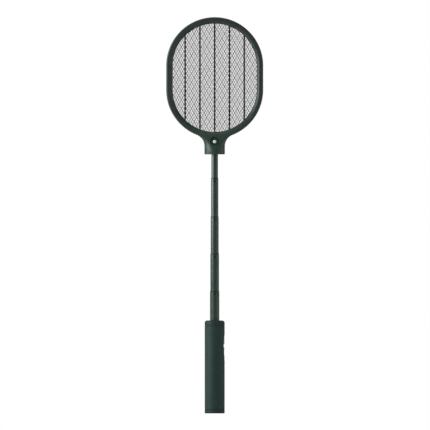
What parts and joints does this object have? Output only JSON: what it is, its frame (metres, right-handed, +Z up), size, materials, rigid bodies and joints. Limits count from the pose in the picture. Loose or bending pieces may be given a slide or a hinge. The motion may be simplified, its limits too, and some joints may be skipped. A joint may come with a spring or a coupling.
{
  "type": "electric fly swatter",
  "caption": "Racket-shaped electric fly swatter: ribbed wire nets in a rounded oblong ring, lamp in the neck, telescopic tube pole and round grip with side switch and button.",
  "frame": {"origin": "centre of the handle's bottom face", "axes": "+Z up the pole towards the head, -Y is the front face with the lamp, +X is the side with the switch and button; rest is the pole fully pulled out"},
  "size_m": [0.194, 0.041, 0.7925],
  "materials": {
    "handle_plastic": "fine-textured moulding, dark green-grey",
    "panel_plastic": "satin moulding",
    "head_plastic": "fine-textured moulding, dark green-grey",
    "socket_plastic": "satin moulding",
    "black_plastic": "satin black moulding",
    "inner_plastic": "plain black moulding",
    "pole_paint": "satin dark green paint on thin steel tube",
    "brass": "rolled",
    "nickel": "nickel strip",
    "net_steel": "plain drawn wire",
    "screw_steel": "zinc plated",
    "board_green": "solder mask",
    "cell_wrap": "shrink film",
    "ferrite": "ferrite grey",
    "winding_tape": "yellow tape",
    "capacitor_red": "dipped",
    "component_black": "moulded case",
    "lens_white": "translucent white",
    "lead_rubber": "soft PVC jacket"
  },
  "bodies": {
    "handle": {"handle_sleeve": "handle_plastic", "top_collar": "handle_plastic", "bottom_cap": "handle_plastic", "cap_screws": "screw_steel", "chassis": "inner_plastic", "pole_anchor_front": "inner_plastic", "pole_anchor_rear": "inner_plastic", "anchor_screws": "screw_steel", "circuit_board": "board_green", "charge_socket": "screw_steel", "transformer_core": "ferrite", "transformer_winding": "winding_tape", "film_capacitors": "capacitor_red", "rectifier_diodes": "component_black", "power_transistor": "component_black", "battery_cell": "cell_wrap", "battery_tabs": "nickel", "battery_leads": "lead_rubber", "supply_lead": "lead_rubber", "control_panel": "panel_plastic", "slide_switch_body": "black_plastic", "tact_switch": "black_plastic", "status_led": "lens_white", "light_pipe": "lens_white", "pole_tube_5": "pole_paint", "lead_coil_5": "lead_rubber"},
    "pole_4": {"pole_tube_4": "pole_paint", "friction_sleeve_4": "brass", "lead_coil_4": "lead_rubber"},
    "pole_3": {"pole_tube_3": "pole_paint", "friction_sleeve_3": "brass", "lead_coil_3": "lead_rubber"},
    "pole_2": {"pole_tube_2": "pole_paint", "friction_sleeve_2": "brass", "lead_coil_2": "lead_rubber"},
    "head": {"pole_tube_1": "pole_paint", "friction_sleeve_1": "brass", "lead_coil_1": "lead_rubber", "head_front_shell": "head_plastic", "head_rear_shell": "head_plastic", "head_screws": "screw_steel", "pole_socket": "socket_plastic", "pole_pins": "screw_steel", "lamp_bezel": "socket_plastic", "lamp_lens": "lens_white", "lamp_board": "board_green", "lamp_led": "lens_white", "front_net": "net_steel", "high_voltage_net": "net_steel", "rear_net": "net_steel", "front_spacer": "black_plastic", "rear_spacer": "black_plastic", "net_leads": "lead_rubber"},
    "power_switch": {"slide_knob": "black_plastic", "switch_lever": "black_plastic", "switch_shutter": "black_plastic"},
    "zap_button": {"push_button": "panel_plastic", "tact_plunger": "black_plastic"}
  },
  "joints": [
    {"name": "pole_slide_4", "type": "slide", "parent": "handle", "child": "pole_4", "axis": [0, 0, -1], "range_m": [0, 0.071], "deforming": ["lead_coil_5"]},
    {"name": "pole_slide_3", "type": "slide", "parent": "pole_4", "child": "pole_3", "axis": [0, 0, -1], "range_m": [0, 0.07], "deforming": ["lead_coil_4"]},
    {"name": "pole_slide_2", "type": "slide", "parent": "pole_3", "child": "pole_2", "axis": [0, 0, -1], "range_m": [0, 0.069], "deforming": ["lead_coil_3"]},
    {"name": "pole_slide_1", "type": "slide", "parent": "pole_2", "child": "head", "axis": [0, 0, -1], "range_m": [0, 0.046], "deforming": ["lead_coil_2"]},
    {"name": "switch_slide", "type": "slide", "parent": "handle", "child": "power_switch", "axis": [0, 0, -1], "range_m": [0, 0.006]},
    {"name": "button_press", "type": "slide", "parent": "handle", "child": "zap_button", "axis": [-1, 0, 0], "range_m": [0, 0.0008], "stiffness_N_per_m": 1500}
  ]
}
